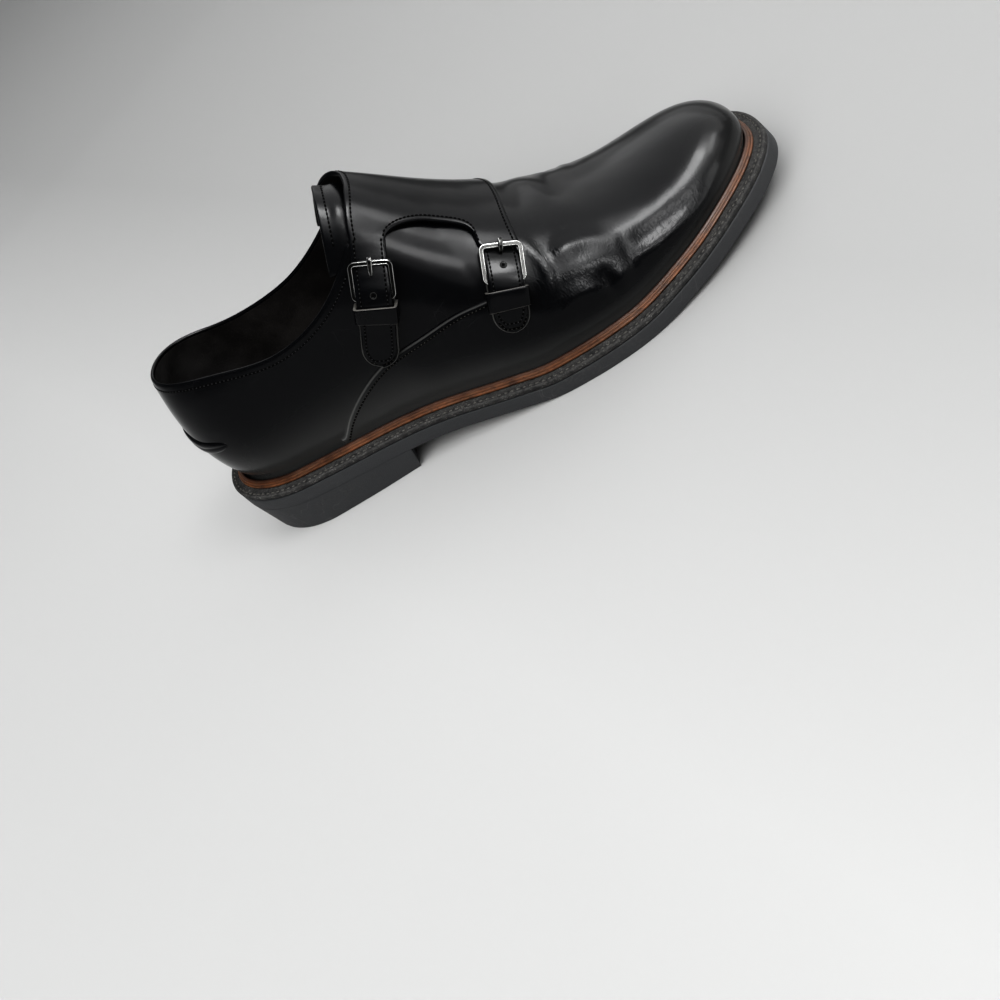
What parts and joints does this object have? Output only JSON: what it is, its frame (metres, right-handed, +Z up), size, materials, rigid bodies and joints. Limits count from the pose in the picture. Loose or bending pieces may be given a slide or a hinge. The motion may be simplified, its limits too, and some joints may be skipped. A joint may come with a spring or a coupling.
{
  "type": "double buckle strap shoe",
  "caption": "Polished leather low shoe with two buckled straps over the instep, a welted sole and a block heel.",
  "frame": {"origin": "on the floor, under the centre of the shoe's bounding box", "axes": "+X towards the toe, -Y towards the buckles on the outer side of the foot, +Z up"},
  "size_m": [0.305, 0.112, 0.1234],
  "materials": {
    "sole": "matte dark grey",
    "welt": "rough black",
    "rand": "satin brown",
    "sock": "worn matte",
    "leather": "polished black",
    "metal": "bright polished"
  },
  "bodies": {
    "root": {"outsole": "sole", "heel": "sole", "welt": "welt", "rand": "rand", "insole": "sock", "upper": "leather", "tongue": "leather", "flap": "leather", "chape_rear": "leather", "chape_front": "leather", "keeper_rear": "leather", "keeper_front": "leather", "buckle_rear": "metal", "buckle_front": "metal", "prong_rear": "metal", "prong_front": "metal"}
  },
  "joints": []
}
